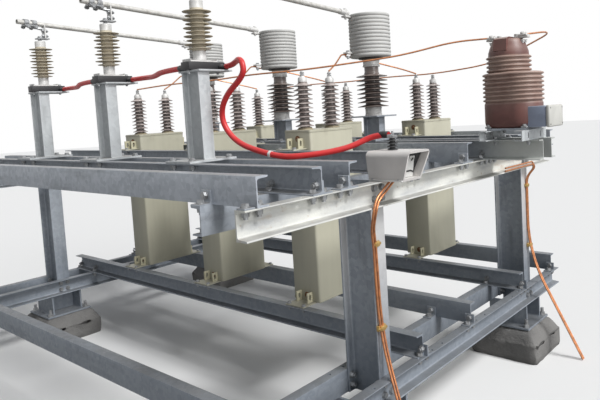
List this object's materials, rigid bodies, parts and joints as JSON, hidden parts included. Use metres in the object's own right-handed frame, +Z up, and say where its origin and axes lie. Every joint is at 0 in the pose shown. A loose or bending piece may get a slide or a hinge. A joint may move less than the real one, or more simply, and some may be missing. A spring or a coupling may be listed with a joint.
{
  "type": "capacitor bank",
  "caption": "Weathered steel-framed capacitor bank on concrete pedestals, with shed bushings, reactors, arresters and a ribbed current transformer.",
  "frame": {"origin": "centre of the whole bank's bounding box in plan, at the ground the pedestals stand on", "axes": "+X along the long beams towards the current transformer's end, +Y from the arrester side to the rear row of cans, +Z up"},
  "size_m": [3.6116, 2.576, 2.1688],
  "materials": {
    "concrete": "rough",
    "galvanised": "weathered satin",
    "cream_steel": "chalky, rust stained",
    "can_paint": "satin, weathered",
    "porcelain": "glossy glaze",
    "brown_glaze": "glossy glaze",
    "arrester_polymer": "matt",
    "black_polymer": "matt",
    "reactor_resin": "matt, dusty",
    "ct_resin": "satin",
    "box_grey": "satin",
    "tube_aluminium": "satin",
    "counter_shell": "satin",
    "copper": "tarnished copper",
    "lead_red": "matt"
  },
  "bodies": {
    "root": {"arrester_1": "arrester_polymer", "arrester_2": "arrester_polymer", "arrester_3": "arrester_polymer", "arrester_posts": "galvanised", "base_channels_left": "galvanised", "base_channels_right": "galvanised", "bushings_front_row": "porcelain", "bushings_rear_row": "porcelain", "capacitor_front_1": "can_paint", "capacitor_front_2": "can_paint", "capacitor_front_3": "can_paint", "capacitor_rear_1": "can_paint", "capacitor_rear_2": "can_paint", "capacitor_rear_3": "can_paint", "counter_insulator": "black_polymer", "ct_body": "ct_resin", "ct_plate": "galvanised", "ct_rails": "galvanised", "ct_terminal_box": "box_grey", "ct_terminals": "tube_aluminium", "earth_lead_1": "lead_red", "earth_lead_2": "lead_red", "earth_lead_3": "lead_red", "earth_rods": "copper", "leg_front_left": "galvanised", "leg_front_right": "galvanised", "leg_rear_left": "galvanised", "leg_rear_right": "galvanised", "line_tubes": "tube_aluminium", "lower_beam_front": "galvanised", "lower_beam_front_row_front": "galvanised", "lower_beam_front_row_rear": "galvanised", "lower_beam_rear_row_front": "galvanised", "lower_beam_rear_row_rear": "galvanised", "neutral_conductors": "copper", "pedestal_front_left": "concrete", "pedestal_front_right": "concrete", "pedestal_rear_left": "concrete", "pedestal_rear_right": "concrete", "phase_jumpers": "copper", "reactor_1": "reactor_resin", "reactor_2": "reactor_resin", "reactor_3": "reactor_resin", "reactor_insulators": "brown_glaze", "reactor_posts": "galvanised", "surge_counter": "counter_shell", "top_channel_right_inner": "galvanised", "top_channel_right_outer": "cream_steel", "top_channels_left": "galvanised", "upper_beam_arresters": "galvanised", "upper_beam_front": "galvanised", "upper_beam_front_row_front": "galvanised", "upper_beam_front_row_rear": "galvanised", "upper_beam_reactors": "galvanised", "upper_beam_rear_row_front": "galvanised", "upper_beam_rear_row_rear": "galvanised"}
  },
  "joints": []
}
